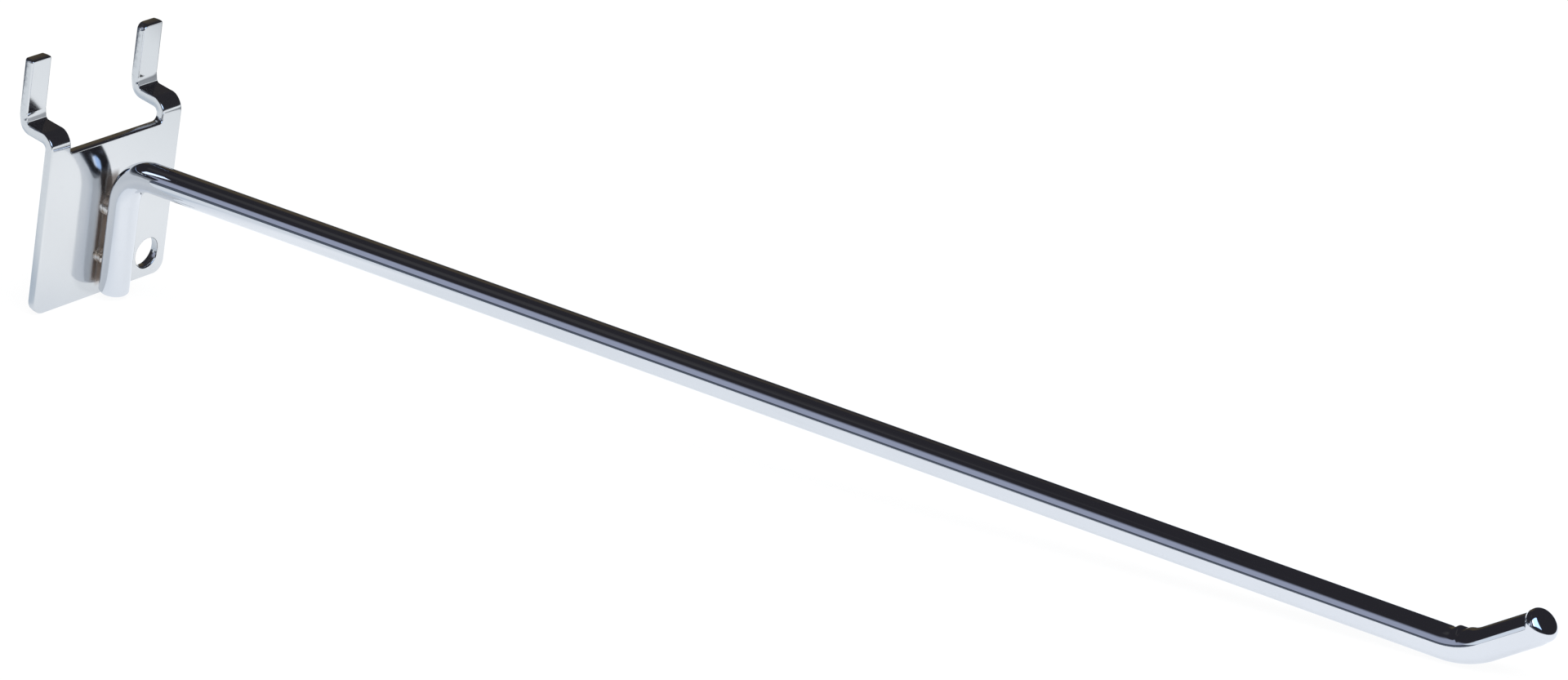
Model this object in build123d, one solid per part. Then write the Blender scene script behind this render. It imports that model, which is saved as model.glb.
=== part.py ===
from build123d import *
import math
import os

# Peg hook: a stamped sheet bracket with two joggled prongs, and a bent round wire
# that carries the goods, joined to the bracket by two small weld nuggets.
# Millimetres. +X is to the hook's own right as seen from the front, -Y points to the
# customer, +Z is up. The origin is the middle of the plate's back face, which lies
# flat against the board.

# Sheet bracket
SHEET_T = 1.8            # thickness of the sheet
PRONG_PITCH = 25.4       # centre to centre of the prongs, one pitch of the board's holes
PRONG_WIDTH = 4.4        # width of each prong, flush with the plate's side edge
PLATE_HEIGHT = 27.9      # bottom edge to the top edge between the prongs
CORNER_R = 2.2           # lower corners of the plate
ROOT_R = 1.0             # concave corners where the prongs leave the top edge
NECK_RISE = 1.0          # top edge of the plate up to the start of the first bend
EDGE_R = 0.35            # rolled edge that the punch leaves along the front skin

# Joggle of the prongs
JOGGLE_DEPTH = 6.2       # front face of the plate back to the front face of the prong
JOGGLE_TURN = 87.0       # degrees that the sheet turns back from the upright plate
FRONT_BEND_R = 0.85      # inside radius of the bend over the plate
CREASE_R = 0.5           # inside radius of the sharp crease below the upright
LEAN_ANGLE = 14.0        # degrees that the foot of the upright leans back
LEAN_LENGTH = 0.5        # straight length of that foot
LEAN_R = 4.0             # inside radius of the soft bend above it
UPRIGHT_HEIGHT = 9.0     # straight height of the upright above the soft bend
TOP_CORNER_R = 0.45      # upper corners of the prongs
CLIPPED_CORNER_R = 1.1   # upper inner corner of the right prong, sheared off rounder

# Screw hole, in the lower right corner only
HOLE_D = 5.2
HOLE_SIDE_MARGIN = 4.3   # centre to the plate's right edge
HOLE_BOTTOM_MARGIN = 4.4 # centre to the plate's bottom edge

# Wire
WIRE_D = 5.0
WELD_GAP = 0.56          # space that the weld nuggets hold between plate and wire
LEG_INSET = 1.7          # bottom edge of the plate up to the leg's cut end
ARM_HEIGHT = 23.6        # bottom edge of the plate up to where leg and arm axes meet
ELBOW_R = 6.5            # bend radius of the wire's axis between leg and arm
ARM_REACH = 250.0        # level distance from the leg's axis to the tip's corner
ARM_TILT = 6.7           # degrees that the arm climbs
TIP_ANGLE = 40.0         # degrees of the tip above the level
TIP_BEND_R = 13.0        # bend radius of the wire's axis between arm and tip
TIP_LENGTH = 14.2        # tip's corner to the cut end, along its axis
LEG_END_R = 0.5          # rounded rim of the leg's cut end

# Sheared end of the tip: swollen a little and pushed towards the inside of the bend
TIP_FLARE_LENGTH = 2.8
TIP_FLARE_SWELL = 0.12   # growth of the radius at the end
TIP_FLARE_SHIFT = 0.42   # how far the end section sits towards the inside of the bend
TIP_CUT_ANGLE = 13.0     # degrees that the cut leans back towards the inside of the bend
TIP_RIM_R = 1.1

# Wrinkle that bending raised on the inside of the tip's bend
WRINKLE_R = 1.15
WRINKLE_HEIGHT = 0.42
WRINKLE_TURN = 0.37      # share of the bend's turn at which the wrinkle stands

# Weld nuggets
NUGGET_R = 1.65
LOWER_NUGGET_HEIGHT = 7.0    # bottom edge of the plate up to the lower nugget
UPPER_NUGGET_HEIGHT = 15.7   # bottom edge of the plate up to the upper nugget

# How edges are told apart
CORNER_ANGLE = 30.0      # degrees between two faces above which their edge is a corner
NEAR = 1e-4              # distance under which two places count as the same

# Values that follow from the sizes above
plate_width = PRONG_PITCH + PRONG_WIDTH
plate_bottom = -PLATE_HEIGHT / 2
plate_top = PLATE_HEIGHT / 2
plate_front = -SHEET_T
wire_r = WIRE_D / 2
leg_y = plate_front - WELD_GAP - wire_r


def plate_blank():
    """Flat plate with its two short necks, drawn from the front and given its thickness."""
    side = plate_width / 2
    inner = side - PRONG_WIDTH
    neck_top = plate_top + NECK_RISE
    outline = Plane.XZ * Polyline(
        (-side, plate_bottom), (side, plate_bottom), (side, neck_top), (inner, neck_top),
        (inner, plate_top), (-inner, plate_top), (-inner, neck_top), (-side, neck_top),
        close=True,
    )
    blank = extrude(make_face(outline), SHEET_T)
    blank = fillet(blank.edges().filter_by(Axis.Y).group_by(Axis.Z)[0], CORNER_R)
    roots = [
        edge for edge in blank.edges().filter_by(Axis.Y)
        if abs(edge.center().Z - plate_top) < NEAR and abs(abs(edge.center().X) - inner) < NEAR
    ]
    return fillet(roots, min(ROOT_R, NECK_RISE - EDGE_R))


def prong_path():
    """Middle line of the sheet along a prong, from the neck through its bends to the top."""
    turn = math.radians(JOGGLE_TURN)
    lean = math.radians(LEAN_ANGLE)
    mid = SHEET_T / 2
    radii = [FRONT_BEND_R + mid, CREASE_R + mid, LEAN_R + mid]
    front_tangent = radii[0] * math.tan(turn / 2)
    crease_tangent = radii[1] * math.tan((turn - lean) / 2)
    lean_tangent = radii[2] * math.tan(lean / 2)
    start = (-mid, plate_top)
    first = (-mid, plate_top + NECK_RISE + front_tangent)
    foot = crease_tangent + LEAN_LENGTH + lean_tangent
    back = JOGGLE_DEPTH - foot * math.sin(lean)
    second = (first[0] + back, first[1] + back / math.tan(turn))
    third = (first[0] + JOGGLE_DEPTH, second[1] + foot * math.cos(lean))
    top = (third[0], third[1] + lean_tangent + UPRIGHT_HEIGHT)
    return Plane.YZ * FilletPolyline(start, first, second, third, top, radius=radii)


def round_top(strip, place, radius):
    """Round one upper corner of a prong: place 0 is its left corner and -1 its right one."""
    corners = strip.edges().filter_by(Axis.Y).group_by(Axis.Z)[-1].sort_by(Axis.X)
    return fillet(corners[place], radius)


def prong(x, left_r, right_r):
    """One joggled prong at x, with the radii of its two upper corners, and its front skin."""
    path = Pos(x, 0, 0) * prong_path()
    start = Plane(path @ 0, x_dir=(1, 0, 0), z_dir=path % 0)
    strip = sweep(start * Rectangle(PRONG_WIDTH, SHEET_T), path=path)
    strip = round_top(strip, 0, left_r)
    strip = round_top(strip, -1, right_r)
    half = PRONG_WIDTH / 2
    front_line = start * Line((-half, -SHEET_T / 2), (half, -SHEET_T / 2))
    return strip, sweep(front_line, path=path)


def rolled_edges(solid, skins):
    """Edges of the sheet that are real corners, not where faces run on, and lie on a skin."""
    found = []
    for edge in solid.edges():
        faces = [f for f in solid.faces() if any(edge.is_same(e) for e in f.edges())]
        if len(faces) != 2:
            continue
        at = edge @ 0.5
        angle = faces[0].normal_at(at).get_angle(faces[1].normal_at(at))
        if angle > CORNER_ANGLE and any(skin.distance_to(at) < NEAR for skin in skins):
            found.append(edge)
    return found


def make_bracket():
    """The stamped and bent sheet: plate, both prongs, screw hole and rolled front edges."""
    offset = PRONG_PITCH / 2
    left, left_skin = prong(-offset, TOP_CORNER_R, TOP_CORNER_R)
    right, right_skin = prong(offset, CLIPPED_CORNER_R, TOP_CORNER_R)
    hole_x = plate_width / 2 - HOLE_SIDE_MARGIN
    hole_z = plate_bottom + HOLE_BOTTOM_MARGIN
    drill = Pos(hole_x, 0, hole_z) * Rot(90, 0, 0) * Cylinder(HOLE_D / 2, 3 * SHEET_T)
    sheet = (plate_blank() + left + right - drill).clean().solid()
    plate_skin = sheet.faces().sort_by(Axis.Y)[0]
    plate_face = Face(plate_skin.outer_wire())
    return fillet(rolled_edges(sheet, [plate_face, left_skin, right_skin]), EDGE_R)


def wire_corners():
    """Corner points of the wire's axis: leg end, elbow, tip's corner and tip end."""
    tilt = math.radians(ARM_TILT)
    lift = math.radians(TIP_ANGLE)
    foot = (leg_y, plate_bottom + LEG_INSET)
    elbow = (leg_y, plate_bottom + ARM_HEIGHT)
    tip = (leg_y - ARM_REACH, elbow[1] + ARM_REACH * math.tan(tilt))
    end = (tip[0] - TIP_LENGTH * math.cos(lift), tip[1] + TIP_LENGTH * math.sin(lift))
    return foot, elbow, tip, end


def tip_flare(end, lift):
    """Last stretch of the tip: swollen, pushed inwards, cut at a slant, with a rounded rim."""
    along = Vector(0, -math.cos(lift), math.sin(lift))
    inward = Vector(0, math.sin(lift), math.cos(lift))
    finish = Vector(0, *end)
    start = finish - along * TIP_FLARE_LENGTH
    slant = math.radians(TIP_CUT_ANGLE)
    facing = along * math.cos(slant) + inward * math.sin(slant)
    wide_end = Plane(finish + inward * TIP_FLARE_SHIFT, x_dir=(1, 0, 0), z_dir=facing)
    sections = [
        Plane(start, x_dir=(1, 0, 0), z_dir=along) * Circle(wire_r),
        wide_end * Circle(wire_r + TIP_FLARE_SWELL),
    ]
    flare = loft(sections, ruled=True)
    rim = flare.edges().filter_by(GeomType.CIRCLE).sort_by(Axis(start, along))[-1]
    return fillet(rim, TIP_RIM_R), start


def wrinkle(tip):
    """Small pimple of metal on the inside of the tip's bend."""
    tilt = math.radians(ARM_TILT)
    turn = math.radians(TIP_ANGLE) - tilt
    back = TIP_BEND_R * math.tan(turn / 2)
    start = Vector(0, tip[0] + back * math.cos(tilt), tip[1] - back * math.sin(tilt))
    inward = Vector(0, math.sin(tilt), math.cos(tilt))
    centre = start + inward * TIP_BEND_R
    angle = tilt + turn * WRINKLE_TURN
    outward = Vector(0, -math.sin(angle), -math.cos(angle))
    reach = TIP_BEND_R - wire_r + WRINKLE_R - WRINKLE_HEIGHT
    return Pos(centre + outward * reach) * Sphere(WRINKLE_R)


def make_wire():
    """The round wire: leg, elbow, arm, upturned tip with its flared end, and the wrinkle."""
    foot, elbow, tip, end = wire_corners()
    lift = math.radians(TIP_ANGLE)
    flare, start = tip_flare(end, lift)
    bends = [ELBOW_R, TIP_BEND_R]
    axis = Plane.YZ * FilletPolyline(foot, elbow, tip, (start.Y, start.Z), radius=bends)
    section = Plane(axis @ 0, x_dir=(1, 0, 0), z_dir=axis % 0) * Circle(wire_r)
    rod = sweep(section, path=axis)
    rim = rod.edges().filter_by(GeomType.CIRCLE).group_by(Axis.Z)[0]
    rod = fillet(rim, LEG_END_R)
    return (rod + flare + wrinkle(tip)).solid()


def make_nuggets():
    """The two weld nuggets: blobs squeezed between the plate's front face and the leg."""
    leg = Pos(0, leg_y, 0) * Cylinder(wire_r, 2 * PLATE_HEIGHT)
    plate = Pos(0, plate_front / 2, 0) * Box(plate_width, SHEET_T, 2 * PLATE_HEIGHT)
    blobs = []
    for height in (LOWER_NUGGET_HEIGHT, UPPER_NUGGET_HEIGHT):
        ball = Pos(0, plate_front - WELD_GAP / 2, plate_bottom + height) * Sphere(NUGGET_R)
        blobs.append((ball - plate - leg).solid())
    return Compound(children=blobs)


def main():
    os.makedirs("parts", exist_ok=True)
    export_step(make_bracket(), "parts/bracket.step")
    export_step(make_wire(), "parts/wire_hook.step")
    export_step(make_nuggets(), "parts/weld_nuggets.step")


main()
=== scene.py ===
import logging
import math
from collections.abc import Callable, Iterable
from dataclasses import dataclass, field
from enum import Enum
from typing import TypeVar

import bmesh
import bpy
from mathutils import Matrix, Vector, noise


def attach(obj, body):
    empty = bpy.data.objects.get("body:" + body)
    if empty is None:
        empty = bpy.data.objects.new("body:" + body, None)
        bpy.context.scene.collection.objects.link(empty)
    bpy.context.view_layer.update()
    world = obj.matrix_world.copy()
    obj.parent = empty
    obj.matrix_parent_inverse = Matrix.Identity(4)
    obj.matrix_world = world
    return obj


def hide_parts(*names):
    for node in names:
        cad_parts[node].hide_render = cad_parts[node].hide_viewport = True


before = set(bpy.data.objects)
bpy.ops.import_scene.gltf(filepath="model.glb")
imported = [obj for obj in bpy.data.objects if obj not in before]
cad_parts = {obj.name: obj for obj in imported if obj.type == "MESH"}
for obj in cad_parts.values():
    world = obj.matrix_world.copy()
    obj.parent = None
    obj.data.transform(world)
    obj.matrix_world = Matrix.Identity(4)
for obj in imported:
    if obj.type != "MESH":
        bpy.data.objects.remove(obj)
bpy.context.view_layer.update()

# Looks of the peg hook: a bright plated sheet bracket, a bent round wire and two weld
# nuggets. Sizes are millimetres and become metres when a mesh is finished. +X is to the
# hook's right as seen from the front, -Y points to the customer, +Z is up, and the
# origin is the middle of the plate's back face.

MM = 0.001
TABLE_TILT = math.radians(11.33)  # lean of the table on which the photographed hook stands
TABLE_DROP = -14.06               # where that table lies under the origin, square to it
TABLE_BACK = 150.0                # how far the table reaches behind the plate
MERGE = 0.0005                    # corners closer than this, in millimetres, become one
FINE = 1e-5                       # smallest difference between two places that counts
NEAR = 1e-4                       # two places closer than this are the same
LOOSE = 1e-3                      # the same, for places that were turned or cut before
SHARP = math.radians(40.0)        # an edge that folds by more than this stays sharp
ROLLED = math.radians(30.0)       # an edge that folds by more than this is rolled or broken
END_RINGS = (0.8, 0.55, 0.3, 0.1)  # rings on the tip's flat end, as shares of its radius

Span = tuple[float, float]
Colour = tuple[float, float, float]
Place = tuple[float, float, float]
Socket = bpy.types.NodeSocket
Value = float | Socket
Part = TypeVar("Part")

WHITE: Colour = (1.0, 1.0, 1.0)
SIDEWAYS = Vector((1.0, 0.0, 0.0)).freeze()
STILL = Vector((0.0, 0.0, 0.0)).freeze()

log = logging.getLogger("peg_hook")


class Slot(Enum):
    """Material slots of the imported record."""

    SHEET = "plated_sheet"
    WIRE = "plated_wire"
    WELD = "plated_weld"


class Skin(Enum):
    """Layer of the sheet's thickness in which a corner of the bracket's mesh lies."""

    BACK = 0
    FRONT = 1
    TEAR = 2


# Helpers for nodes.


@dataclass(frozen=True)
class Pattern:
    """A noise pattern, which may be stretched and cut off softly.

    Attributes:
        scale: Waves per metre.
        detail: Octaves.
        stretch: Factors on the three coordinates.
        cut: Noise values between which the pattern rises, or None for the plain noise.
        ends: Its values below and above that cut.
    """

    scale: float
    detail: float
    stretch: Place = WHITE
    cut: Span | None = None
    ends: Span = (0.0, 1.0)


class Nodes:
    """Short ways to place and wire nodes in one node tree."""

    def __init__(self, tree: bpy.types.NodeTree) -> None:
        """Take over a tree and empty it.

        Args:
            tree: The tree that the nodes go into.
        """
        self.tree = tree
        tree.nodes.clear()

    def add(self, kind: str, **settings: object) -> bpy.types.Node:
        """Place one node.

        Args:
            kind: Blender's name of the node type.
            **settings: Properties of the node to set.

        Returns:
            The new node.
        """
        node = self.tree.nodes.new(kind)
        for name, value in settings.items():
            setattr(node, name, value)
        return node

    def feed(self, socket: Socket, value: object) -> None:
        """Give an input socket a link or a plain value.

        Args:
            socket: The input.
            value: An output socket, a number, a colour or a vector.
        """
        if isinstance(value, bpy.types.NodeSocket):
            self.tree.links.new(value, socket)
        elif isinstance(value, (int, float)):
            socket.default_value = float(value)
        else:
            items = tuple(value)
            wanted = len(socket.default_value)
            socket.default_value = items + (1.0,) * (wanted - len(items))

    def math(self, operation: str, first: Value, second: Value = 0.0, third: Value = 0.0) -> Socket:
        """Place a Math node.

        Args:
            operation: Name of the operation.
            first: First operand.
            second: Second operand.
            third: Third operand.

        Returns:
            The result.
        """
        node = self.add("ShaderNodeMath", operation=operation)
        for socket, value in zip(node.inputs, (first, second, third)):
            self.feed(socket, value)
        return node.outputs[0]

    def ramp(self, value: Value, low: float, high: float, start: float = 0.0, end: float = 1.0) -> Socket:
        """Smooth step of a value from start to end between low and high.

        Args:
            value: The driving value.
            low: Where the step begins.
            high: Where it ends.
            start: Result below low.
            end: Result above high.

        Returns:
            The stepped value.
        """
        node = self.add("ShaderNodeMapRange", interpolation_type="SMOOTHSTEP")
        names = ("Value", "From Min", "From Max", "To Min", "To Max")
        for name, item in zip(names, (value, low, high, start, end)):
            self.feed(node.inputs[name], item)
        return node.outputs["Result"]

    def fall(self, value: Value, low: float, high: float) -> Socket:
        """Smooth step of a value from 1 down to 0 between low and high."""
        return self.ramp(value, low, high, 1.0, 0.0)

    def product(self, first: Value, *others: Value) -> Value:
        """Multiply values.

        Args:
            first: First value.
            *others: The other values.

        Returns:
            Their product.
        """
        for other in others:
            first = self.math("MULTIPLY", first, other)
        return first

    def blend(self, factor: Value, first: object, second: object) -> Socket:
        """Mix two colours.

        Args:
            factor: Share of the second colour.
            first: Colour or link.
            second: Colour or link.

        Returns:
            The mixed colour.
        """
        node = self.add("ShaderNodeMix", data_type="RGBA", clamp_factor=True)
        self.feed(node.inputs[0], factor)
        self.feed(node.inputs[6], first)
        self.feed(node.inputs[7], second)
        return node.outputs[2]

    def draw(self, pattern: Pattern, place: Socket) -> Socket:
        """Place a noise pattern.

        Args:
            pattern: The pattern.
            place: Coordinates.

        Returns:
            Its value, near 0.5 on average where it has no cut.
        """
        mapping = self.add("ShaderNodeMapping")
        self.feed(mapping.inputs["Vector"], place)
        mapping.inputs["Scale"].default_value = pattern.stretch
        node = self.add("ShaderNodeTexNoise")
        self.feed(node.inputs["Vector"], mapping.outputs[0])
        node.inputs["Scale"].default_value = pattern.scale
        node.inputs["Detail"].default_value = pattern.detail
        if pattern.cut is None:
            return node.outputs["Fac"]
        return self.ramp(node.outputs["Fac"], *pattern.cut, *pattern.ends)

    def place(self) -> Socket:
        """Object coordinates of the piece."""
        return self.add("ShaderNodeTexCoord").outputs["Object"]

    def split(self, vector: Socket) -> tuple[Socket, Socket, Socket]:
        """Three numbers of a vector.

        Args:
            vector: The vector.

        Returns:
            Its X, Y and Z.
        """
        node = self.add("ShaderNodeSeparateXYZ")
        self.feed(node.inputs[0], vector)
        return node.outputs[0], node.outputs[1], node.outputs[2]

    def group(self, tree: bpy.types.NodeTree, **values: object) -> bpy.types.Node:
        """Place a node group.

        Args:
            tree: The group.
            **values: Its inputs by name.

        Returns:
            The group's node.
        """
        node = self.add("ShaderNodeGroup", node_tree=tree)
        for name, value in values.items():
            self.feed(node.inputs[name], value)
        return node

    def mix(self, factor: Value, first: Socket, second: Socket) -> Socket:
        """Mix two shaders.

        Args:
            factor: Share of the second shader.
            first: First shader.
            second: Second shader.

        Returns:
            The mixed shader.
        """
        node = self.add("ShaderNodeMixShader")
        for socket, value in zip(node.inputs, (factor, first, second)):
            self.feed(socket, value)
        return node.outputs[0]

    def show(self, surface: Socket, kind: str = "ShaderNodeOutputMaterial") -> None:
        """Lead a shader to the tree's output node, of a material or of a world."""
        self.feed(self.add(kind).inputs["Surface"], surface)


Group = tuple[bpy.types.NodeTree, Nodes, bpy.types.Node, bpy.types.Node]


def new_group(name: str, inputs: dict[str, float], outputs: tuple[str, ...]) -> Group:
    """Start a shader node group with number inputs and outputs.

    Args:
        name: Name of the group.
        inputs: Input names and their usual values.
        outputs: Output names.

    Returns:
        The tree, its helper, the input node and the output node.
    """
    tree = bpy.data.node_groups.new(name, "ShaderNodeTree")
    for label, value in inputs.items():
        socket = tree.interface.new_socket(label, in_out="INPUT", socket_type="NodeSocketFloat")
        socket.default_value = value
    for label in outputs:
        tree.interface.new_socket(label, in_out="OUTPUT", socket_type="NodeSocketFloat")
    nodes = Nodes(tree)
    return tree, nodes, nodes.add("NodeGroupInput"), nodes.add("NodeGroupOutput")


def new_material(name: str) -> tuple[bpy.types.Material, Nodes]:
    """Start a material with an empty node tree.

    Args:
        name: Its name.

    Returns:
        The material and the helper of its nodes.
    """
    material = bpy.data.materials.new(name)
    material.use_nodes = True
    return material, Nodes(material.node_tree)


# Patterns and effects of the plating.

HAIRLINES = Pattern(900.0, 2.0, (1.0, 0.05, 1.0), (0.60, 0.74))
CROSS_HAIRLINES = Pattern(1300.0, 2.0, (0.08, 1.0, 0.3), (0.64, 0.78))
HAZE = Pattern(70.0, 4.0, cut=(0.42, 0.72))
WAVES = Pattern(120.0, 1.0, (1.0, 0.35, 1.0))
STAINS = Pattern(350.0, 1.0, cut=(0.25, 0.75), ends=(0.85, 1.0))
TORN_METAL = Pattern(1500.0, 3.0, (1.0, 0.4, 1.0), (0.35, 0.7))
STRIATIONS = Pattern(2600.0, 2.0, (1.0, 0.12, 1.0))
RECESSES = Pattern(1100.0, 3.0, cut=(0.45, 0.62))
PITS = Pattern(1800.0, 3.0)


@dataclass
class PlatingEffects:
    """Effects that more than one finish uses, each built once as a node group.

    Attributes:
        scratch_height: Height of the hairlines in the relief, below 0 because they are cut in.
        gap_side: Distances from the middle plane over which the gap behind the leg fades, in metres.
        gap_front: Depths over which it begins at the leg.
        gap_back: Depths over which it ends inside the plate.
        warm_foot: Heights over which the brownish part of the gap begins.
        warm_top: Heights over which it ends.
        painted_shade_foot: Heights over which the painted shade above it begins.
        painted_shade_top: Heights over which that painted shade ends below the elbow.
        wear: Group of the handling wear.
        throw: Group of the places that the bright plate didn't reach, and of the painted shade in the gap.
    """

    scratch_height: float = -0.01
    gap_side: Span = (0.0009, 0.0018)
    gap_front: Span = (-0.0042, -0.0031)
    gap_back: Span = (-0.0017, -0.0009)
    warm_foot: Span = (-0.0125, -0.011)
    warm_top: Span = (0.002, 0.0065)
    painted_shade_foot: Span = (0.0030, 0.0055)
    painted_shade_top: Span = (0.0068, 0.0086)
    wear: bpy.types.NodeTree = field(init=False)
    throw: bpy.types.NodeTree = field(init=False)

    def __post_init__(self) -> None:
        """Build the groups."""
        self.wear = self.build_wear()
        self.throw = self.build_throw_and_shade()

    def build_wear(self) -> bpy.types.NodeTree:
        """Handling wear: fine hairlines, cloudy haze and the soft waviness of drawn steel.

        Returns:
            The group, with a haze mask and a height.
        """
        tree, nodes, given, made = new_group(
            "plating_wear", {"Hairlines": 0.5, "Haze": 0.5, "Waviness": 0.5}, ("Haze Mask", "Height")
        )
        place = nodes.place()
        lines = nodes.math("ADD", nodes.draw(HAIRLINES, place), nodes.draw(CROSS_HAIRLINES, place))
        lines = nodes.product(lines, given.outputs["Hairlines"])
        haze = nodes.product(nodes.draw(HAZE, place), given.outputs["Haze"])
        haze = nodes.math("MINIMUM", nodes.math("ADD", haze, lines), 1.0)
        nodes.feed(made.inputs["Haze Mask"], haze)
        waves = nodes.product(nodes.draw(WAVES, place), given.outputs["Waviness"])
        height = nodes.math("MULTIPLY_ADD", lines, self.scratch_height, waves)
        nodes.feed(made.inputs["Height"], height)
        return tree

    def build_throw_and_shade(self) -> bpy.types.NodeTree:
        """Where the bright plate did not reach, the narrow gap behind the leg, with painted shade in it.

        Returns:
            The group, with a mask of the brownish metal deep in the gap, which is partly painted shade,
            and one of the painted shade above it, just below the elbow.
        """
        tree, nodes, _, made = new_group("plating_throw_and_shade", {}, ("Warm Mask", "Painted Shade Mask"))
        side, depth, up = nodes.split(nodes.place())
        near = nodes.fall(nodes.math("ABSOLUTE", side), *self.gap_side)
        gap = nodes.product(near, nodes.ramp(depth, *self.gap_front), nodes.fall(depth, *self.gap_back))
        warm = nodes.product(nodes.fall(up, *self.warm_top), nodes.ramp(up, *self.warm_foot))
        painted_shade = nodes.product(nodes.ramp(up, *self.painted_shade_foot), nodes.fall(up, *self.painted_shade_top))
        nodes.feed(made.inputs["Painted Shade Mask"], nodes.product(gap, painted_shade))
        stains = nodes.draw(STAINS, nodes.place())
        nodes.feed(made.inputs["Warm Mask"], nodes.product(gap, warm, stains))
        return tree


# Finishes.


@dataclass(frozen=True)
class Finish:
    """Bright plate: what all finishes of the hook share.

    Attributes:
        name: Name of the material.
        colour: Colour of the clean plate.
        warm: Colour of the thin plate in the gap, where it is partly painted shade, and on the weld metal.
        smooth: Roughness of the clean plate.
        dull: Roughness added by haze and hairlines.
        hairlines: Strength of the hairlines.
        haze: Strength of the cloudy haze.
        waviness: Strength of the soft waviness.
        wave_depth: Depth of the height map, in metres.
        hazy: Brightness of hazy plate, as a share of the clean plate's.
        warm_dull: Roughness added in the gap.
        painted_shade: Colour of the painted shade higher in the gap, just below the elbow.
        painted_shade_share: How much of that painted shade shows.
        gap_shine_loss: Loss of metallic shine in the gap and under its painted shade.
    """

    name: str
    colour: Colour
    warm: Colour
    smooth: float
    dull: float
    hairlines: float
    haze: float
    waviness: float
    wave_depth: float
    hazy: float = 0.94
    warm_dull: float = 0.05
    painted_shade: Colour = (0.14, 0.105, 0.085)
    painted_shade_share: float = 0.85
    gap_shine_loss: float = 0.55

    def build(self, effects: PlatingEffects) -> bpy.types.Material:
        """Make the material.

        Args:
            effects: The shared node groups.

        Returns:
            The finished material.
        """
        material, nodes = new_material(self.name)
        metal = nodes.add("ShaderNodeBsdfPrincipled")
        nodes.show(metal.outputs[0])
        wear = nodes.group(effects.wear, Hairlines=self.hairlines, Haze=self.haze, Waviness=self.waviness)
        haze = wear.outputs["Haze Mask"]
        # Brownish thin plate deep in the gap, partly painted shade, and painted shade higher up.
        throw = nodes.group(effects.throw)
        warm = throw.outputs["Warm Mask"]
        colour = nodes.blend(warm, self.tint(nodes, haze), self.warm)
        # Painted shade: a dark colour higher in the gap, just below the elbow.
        painted_shade = nodes.product(throw.outputs["Painted Shade Mask"], self.painted_shade_share)
        nodes.feed(metal.inputs["Base Color"], nodes.blend(painted_shade, colour, self.painted_shade))
        gap_and_shade = nodes.math("MAXIMUM", warm, painted_shade)
        nodes.feed(metal.inputs["Metallic"], nodes.math("MULTIPLY_ADD", gap_and_shade, -self.gap_shine_loss, 1.0))
        rough = nodes.math("MULTIPLY_ADD", haze, self.dull, self.smooth)
        rough = nodes.math("MULTIPLY_ADD", warm, self.warm_dull, rough)
        nodes.feed(metal.inputs["Roughness"], self.roughen(nodes, rough))
        bump = nodes.add("ShaderNodeBump")
        bump.inputs["Distance"].default_value = self.wave_depth
        nodes.feed(bump.inputs["Height"], self.relief(nodes, wear.outputs["Height"]))
        nodes.feed(metal.inputs["Normal"], bump.outputs["Normal"])
        return material

    def tint(self, nodes: Nodes, haze: Socket) -> Socket:
        """Colour of the plate, a little greyer where it is hazy.

        Args:
            nodes: Helper of the material.
            haze: Haze mask.

        Returns:
            The colour.
        """
        grey = tuple(self.hazy * part for part in self.colour)
        return nodes.blend(haze, self.colour, grey)

    def roughen(self, nodes: Nodes, rough: Socket) -> Socket:
        """Leave the roughness as it is."""
        return rough

    def relief(self, nodes: Nodes, height: Socket) -> Socket:
        """Leave the height as it is."""
        return height


@dataclass(frozen=True)
class SheetFinish(Finish):
    """Plated sheet, with the torn grain of the punched edges.

    Attributes:
        torn_dull: Roughness added by the torn grain.
        striation_height: Height of the striations in the relief.
    """

    torn_dull: float = 0.16
    striation_height: float = 0.05

    def edge_mask(self, nodes: Nodes) -> Socket:
        """Mask of the punched edges, which the bracket's mesh carries as an attribute."""
        return nodes.add("ShaderNodeAttribute", attribute_name="punched").outputs["Fac"]

    def roughen(self, nodes: Nodes, rough: Socket) -> Socket:
        """Duller metal on the punched edges.

        Args:
            nodes: Helper of the material.
            rough: Roughness of the plate.

        Returns:
            The roughness.
        """
        torn = nodes.product(nodes.draw(TORN_METAL, nodes.place()), self.edge_mask(nodes))
        return nodes.math("MULTIPLY_ADD", torn, self.torn_dull, rough)

    def relief(self, nodes: Nodes, height: Socket) -> Socket:
        """Fine striations across the thickness on the punched edges.

        Args:
            nodes: Helper of the material.
            height: Height of the plate's own relief.

        Returns:
            The height.
        """
        lines = nodes.product(nodes.draw(STRIATIONS, nodes.place()), self.edge_mask(nodes))
        return nodes.math("MULTIPLY_ADD", lines, self.striation_height, height)


@dataclass(frozen=True)
class WeldFinish(Finish):
    """Thin plate over weld metal: pitted, with brown recesses.

    Attributes:
        pit_height: Height of the pits and beads in the relief.
    """

    pit_height: float = 0.35

    def tint(self, nodes: Nodes, haze: Socket) -> Socket:
        """Silvery weld with brown recesses.

        Args:
            nodes: Helper of the material.
            haze: Haze mask.

        Returns:
            The colour.
        """
        return nodes.blend(nodes.draw(RECESSES, nodes.place()), self.colour, self.warm)

    def relief(self, nodes: Nodes, height: Socket) -> Socket:
        """Pits and beads of the weld.

        Args:
            nodes: Helper of the material.
            height: Height of the plate's own relief.

        Returns:
            The height.
        """
        return nodes.math("MULTIPLY_ADD", nodes.draw(PITS, nodes.place()), self.pit_height, height)


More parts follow.
